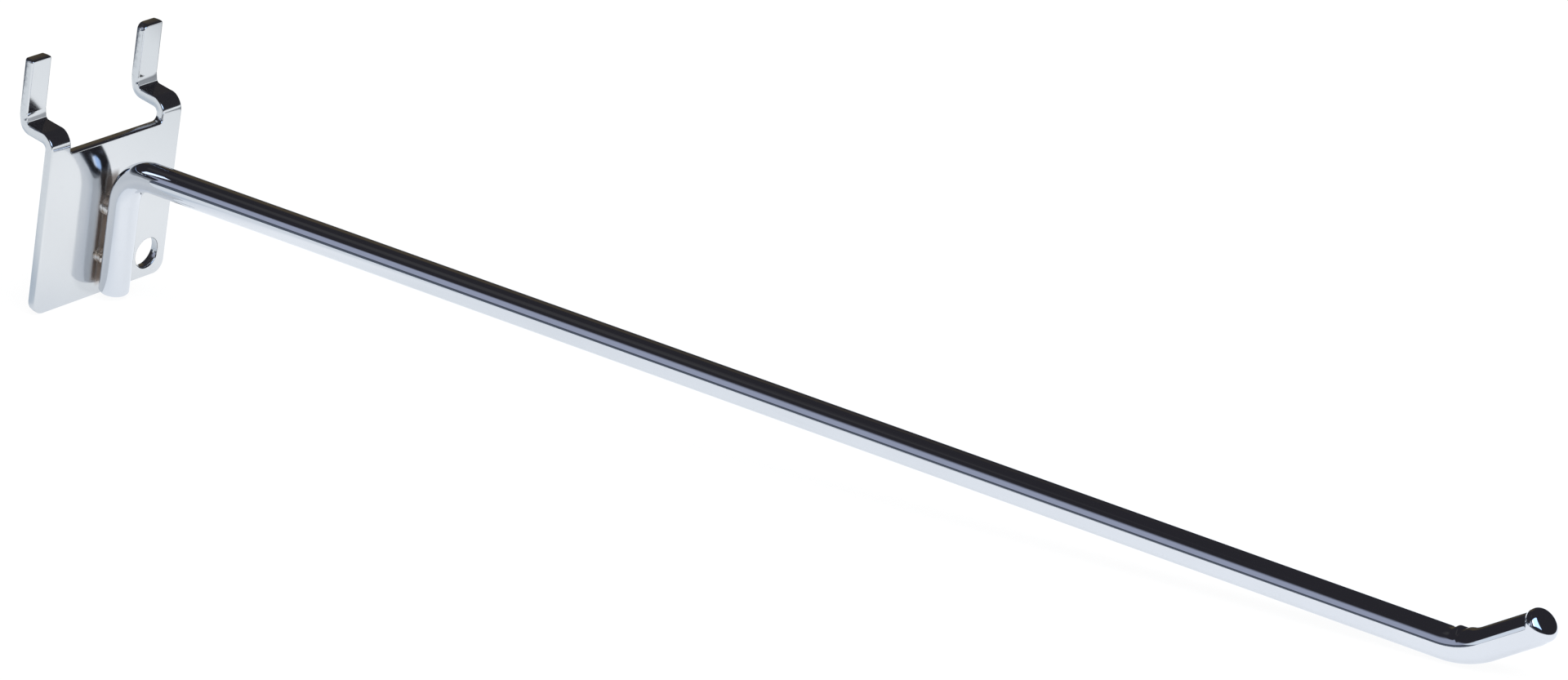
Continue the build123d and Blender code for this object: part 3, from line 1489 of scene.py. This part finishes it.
DOWN: Span = (1.0, 0.0)
SHADE: Colour = (0.0, 0.12, 0.28)
DARK: Colour = (0.10, 0.12, 0.15)
TONES = (
    # Shade behind the plate.
    Tone(
        (
            Step(Measure.Y, (-0.015, 0.03)),
            Step(Measure.ASIDE, (0.015, 0.05), DOWN),
            Step(Measure.Y, (0.06, 0.09), DOWN),
        ),
        0.40, SHADE,
    ),
    # Shade round the foot, to its left and behind it.
    Tone(
        (
            Step(Measure.REACH, (0.026, 0.050), (0.33, 0.11)),
            Step(Measure.X, (-0.015, 0.005), DOWN),
            Step(Measure.Y, (-0.02, 0.0)),
        ),
        1.0, SHADE,
    ),
    # Light that the plate throws on the table in front of it.
    Tone(
        (
            Step(Measure.Y, (-0.06, -0.02)),
            Step(Measure.Y, (0.0, 0.01), DOWN),
            Step(Measure.ASIDE, (0.02, 0.06), DOWN),
        ),
        0.5, (1.10, 1.12, 1.15),
    ),
    # Dark beyond the lit part of the table, to the front left and to the right.
    Tone((Step(Measure.X, (-0.15, -0.10), DOWN), Step(Measure.Y, (-0.08, -0.02), DOWN)), 1.0, DARK),
    Tone((Step(Measure.X, (0.065, 0.085)), Step(Measure.Y, (-0.14, -0.10))), 1.0, DARK),
)


@dataclass
class Studio:
    """Plain pale table, soft light, a dark room for the metal to mirror, and the camera.

    Attributes:
        room: Colour of the dark room.
        fill: Soft light of the surroundings on all that isn't mirrored.
        glows: Patches in the dark room.
        table_far: What the metal sees of the table to the left and behind.
        table_near: What it sees of the table towards the camera.
        table_toward: Share of X and of Y in the direction from far to near.
        table_turn: Where far begins to turn into near and where it ends, in metres.
        table_plain: What the camera sees of the table.
        table_chalk: Share of light that the table scatters, for the camera and for all else.
        table_gain: Brightness of the table that the metal sees.
        table_half: Its half width and half depth, in metres.
        spot: Camera's place, in metres.
        right: Camera's right.
        up: Camera's up.
        back: Camera's backward direction.
        lens: Camera's focal length in millimetres.
        sensor: Width of its sensor in millimetres.
        gain: Brightness of all that the metal mirrors.
        window_spot: Middle of the window light, in metres above and along the table.
        window_aim: What it faces, in metres.
        window_size: Its half width and half height.
        window_soft: Where its soft edges begin, as shares of those.
        window_colour: Its colour.
        window_bright: Colour of its brighter left end.
        window_turn: Where it turns brighter, in metres from its middle.
        lamp_spot: Place of the lamp.
        lamp_aim: What it lights.
        lamp_size: Width of the lamp.
        lamp_power: Its power in watts.
    """

    room: Colour = (0.024, 0.023, 0.028)
    fill: Colour = (0.55, 0.56, 0.58)
    glows: tuple[Glow, ...] = (
        Glow((-180.0, 180.0), (-90.0, 1.5), (1.0, 1.0, 3.0), (0.10, 0.12, 0.155)),
        Glow((-110.0, -18.0), (-90.0, 8.0), (5.0, 1.0, 3.0), (0.092, 0.110, 0.145)),
        Glow((34.0, 54.0), (4.0, 36.0), (6.0, 6.0, 8.0), (0.075, 0.060, 0.040)),
        Glow((-30.0, 5.0), (53.0, 61.0), (8.0, 3.0, 3.0), (0.045, 0.044, 0.047)),
        Glow((-72.0, -45.5), (10.5, 38.5), (2.5, 1.6, 7.0), (0.335, 0.365, 0.475)),
        Glow((-48.5, -36.0), (-6.0, 13.0), (1.0, 1.0, 2.0), (0.74, 0.80, 0.88)),
    )
    table_far: Colour = (0.80, 0.845, 0.885)
    table_near: Colour = (0.96, 0.99, 1.04)
    table_toward: Span = (-0.45, -0.9)
    table_turn: Span = (-0.05, 0.35)
    table_plain: Colour = (0.92, 0.92, 0.92)
    table_chalk: Span = (0.10, 0.22)
    table_gain: float = 0.78
    table_half: Span = (2.5, 1.25)
    spot: Place = (-0.65535, -0.57744, 0.41709)
    right: Place = (0.613275, -0.774473, 0.155198)
    up: Place = (0.258744, 0.382624, 0.886933)
    back: Place = (-0.746288, -0.503777, 0.435043)
    lens: float = 137.2363
    sensor: float = 36.0
    gain: float = 1.176
    window_spot: Place = (-0.09, -0.31, 0.152)
    window_aim: Place = (0.0, -0.15, 0.01)
    window_size: Span = (0.15, 0.09)
    window_soft: Span = (0.85, 0.8)
    window_colour: Colour = (1.05, 1.48, 2.25)
    window_bright: Colour = (2.00, 2.20, 2.55)
    window_turn: Span = (0.035, 0.085)
    lamp_spot: Place = (-0.3, -0.5, 1.2)
    lamp_aim: Place = (0.0, -0.12, 0.0)
    lamp_size: float = 1.0
    lamp_power: float = 14.0

    def camera(self) -> None:
        """Set the camera at the photograph's angle."""
        data = bpy.data.cameras.new("camera")
        data.lens = self.lens
        data.sensor_width = self.sensor
        data.sensor_fit = "HORIZONTAL"
        data.clip_start = 0.01
        camera = bpy.data.objects.new("camera", data)
        axes = Matrix((self.right, self.up, self.back)).transposed().to_4x4()
        camera.matrix_world = Matrix.Translation(self.spot) @ axes
        bpy.context.scene.collection.objects.link(camera)
        bpy.context.scene.camera = camera

    def world(self) -> None:
        """White backdrop for the eye, dark room with soft patches for the metal."""
        world = bpy.data.worlds.new("studio")
        world.use_nodes = True
        bpy.context.scene.world = world
        nodes = Nodes(world.node_tree)
        ray = nodes.add("ShaderNodeTexCoord").outputs["Generated"]
        mapping = nodes.add("ShaderNodeMapping", vector_type="POINT")
        nodes.feed(mapping.inputs["Vector"], ray)
        mapping.inputs["Rotation"].default_value = (TABLE_TILT, 0.0, 0.0)
        x, y, z = nodes.split(mapping.outputs[0])
        azimuth = nodes.math("DEGREES", nodes.math("ARCTAN2", x, y))
        elevation = nodes.math("DEGREES", nodes.math("ARCSINE", z))
        colour: Socket | Colour = self.room
        for glow in self.glows:
            colour = nodes.blend(glow.mask(nodes, azimuth, elevation), colour, glow.colour)
        path = nodes.add("ShaderNodeLightPath")
        room = nodes.add("ShaderNodeBackground")
        nodes.feed(room.inputs["Color"], colour)
        nodes.feed(room.inputs["Strength"], self.gain)
        plain = nodes.add("ShaderNodeBackground")
        nodes.feed(plain.inputs["Color"], nodes.blend(path.outputs["Is Camera Ray"], self.fill, WHITE))
        both = nodes.mix(path.outputs["Is Glossy Ray"], plain.outputs[0], room.outputs[0])
        nodes.show(both, "ShaderNodeOutputWorld")

    def table_seen(self, nodes: Nodes) -> Socket:
        """Colour of the table as the metal mirrors it.

        Args:
            nodes: Helper of the table's material.

        Returns:
            The colour, brighter in front of the plate, shaded behind it and at its foot, and dark
            to the front left and to the right.
        """
        x, y, _ = nodes.split(nodes.place())
        toward_x, toward_y = self.table_toward
        toward = nodes.math("ADD", nodes.product(x, toward_x), nodes.product(y, toward_y))
        seen = nodes.blend(nodes.ramp(toward, *self.table_turn), self.table_far, self.table_near)
        measures = {
            Measure.X: x,
            Measure.Y: y,
            Measure.ASIDE: nodes.math("ABSOLUTE", x),
            Measure.REACH: nodes.math("SQRT", nodes.math("MULTIPLY_ADD", x, x, nodes.product(y, y))),
        }
        for tone in TONES:
            steps = [nodes.ramp(measures[step.measure], *step.reach, *step.ends) for step in tone.steps]
            seen = nodes.blend(nodes.product(*steps, tone.strength), seen, tone.colour)
        return seen

    def table_material(self) -> bpy.types.Material:
        """White table that keeps a faint shadow and is seen through from below.

        Returns:
            The material.
        """
        material, nodes = new_material("table")
        path = nodes.add("ShaderNodeLightPath")
        seen = self.table_seen(nodes)
        shown, other = self.table_chalk
        lit = nodes.math("MULTIPLY_ADD", path.outputs["Is Camera Ray"], shown - other, other)
        base = nodes.add("ShaderNodeVectorMath", operation="SCALE")
        nodes.feed(base.inputs[0], seen)
        base.inputs["Scale"].default_value = self.table_gain * self.gain
        glow = nodes.add("ShaderNodeEmission")
        colour = nodes.blend(path.outputs["Is Camera Ray"], base.outputs[0], self.table_plain)
        nodes.feed(glow.inputs["Color"], colour)
        chalk = nodes.add("ShaderNodeBsdfDiffuse")
        grey = nodes.add("ShaderNodeCombineXYZ")
        for socket in grey.inputs:
            nodes.feed(socket, lit)
        nodes.feed(chalk.inputs["Color"], grey.outputs[0])
        both = nodes.add("ShaderNodeAddShader")
        nodes.feed(both.inputs[0], glow.outputs[0])
        nodes.feed(both.inputs[1], chalk.outputs[0])
        clear = nodes.add("ShaderNodeBsdfTransparent")
        under = nodes.add("ShaderNodeNewGeometry").outputs["Backfacing"]
        nodes.show(nodes.mix(under, both.outputs[0], clear.outputs[0]))
        return material

    def rectangle(
        self, name: str, half: Span, middle: Place, material: bpy.types.Material
    ) -> bpy.types.Object:
        """Make a flat rectangle for the studio.

        Args:
            name: Its name.
            half: Its half width and half depth, in metres.
            middle: Its middle in its own coordinates.
            material: Its material.

        Returns:
            The rectangle.
        """
        mesh = bmesh.new()
        bmesh.ops.create_grid(mesh, x_segments=1, y_segments=1, size=1.0)
        bmesh.ops.scale(mesh, vec=(*half, 1.0), verts=mesh.verts)
        bmesh.ops.translate(mesh, vec=middle, verts=mesh.verts)
        data = bpy.data.meshes.new(name)
        mesh.to_mesh(data)
        mesh.free()
        data.materials.append(material)
        made = bpy.data.objects.new(name, data)
        bpy.context.scene.collection.objects.link(made)
        return made

    def table(self) -> None:
        """Lay the table on which the hook stands, as in the photograph."""
        middle = (0.0, TABLE_BACK * MM - self.table_half[1], TABLE_DROP * MM)
        table = self.rectangle("table", self.table_half, middle, self.table_material())
        table.rotation_euler = (-TABLE_TILT, 0.0, 0.0)

    def window(self) -> None:
        """Stand a bluish window light to the camera's left, which only the metal mirrors."""
        material, nodes = new_material("window")
        x, y, _ = nodes.split(nodes.place())
        shares = (
            nodes.fall(nodes.math("ABSOLUTE", way), half * soft, half)
            for way, half, soft in zip((x, y), self.window_size, self.window_soft)
        )
        glow = nodes.add("ShaderNodeEmission")
        pane = nodes.blend(nodes.ramp(x, *self.window_turn), self.window_colour, self.window_bright)
        nodes.feed(glow.inputs["Color"], nodes.blend(nodes.product(*shares), self.room, pane))
        nodes.show(glow.outputs[0])
        window = self.rectangle("window", self.window_size, (0.0, 0.0, 0.0), material)
        place = Matrix.Rotation(-TABLE_TILT, 4, "X") @ Vector(self.window_spot)
        window.location = place
        window.rotation_euler = (Vector(self.window_aim) - place).to_track_quat("Z", "Y").to_euler()
        for ray in ("camera", "diffuse", "transmission", "volume_scatter", "shadow"):
            setattr(window, "visible_" + ray, False)

    def lamp(self) -> None:
        """Hang one large soft lamp that aims at the hook."""
        data = bpy.data.lights.new("overhead", "AREA")
        data.shape = "SQUARE"
        data.size = self.lamp_size
        data.energy = self.lamp_power
        lamp = bpy.data.objects.new("overhead", data)
        aim = Vector(self.lamp_aim) - Vector(self.lamp_spot)
        lamp.rotation_euler = aim.to_track_quat("-Z", "Y").to_euler()
        lamp.location = self.lamp_spot
        lamp.visible_glossy = False
        bpy.context.scene.collection.objects.link(lamp)

    def build(self) -> None:
        """Set up camera, world, table, window light and lamp."""
        bpy.context.scene.view_settings.view_transform = "Standard"
        self.camera()
        self.world()
        self.table()
        self.window()
        self.lamp()


def main() -> None:
    """Set up the studio and build the hook in it piece by piece."""
    logging.basicConfig(level=logging.INFO, format="%(name)s %(message)s")
    Studio().build()
    effects = PlatingEffects()
    builders: tuple[tuple[Callable[[bpy.types.Material], bpy.types.Object], Finish], ...] = (
        (PlatedBracket().build, SHEET_FINISH),
        (WireHook().build, WIRE_FINISH),
        (WeldNuggets().build, WELD_FINISH),
    )
    for build, finish in builders:
        piece = build(finish.build(effects))
        log.info("%s stands in its place", piece.name)


if __name__ == "__main__":
    main()
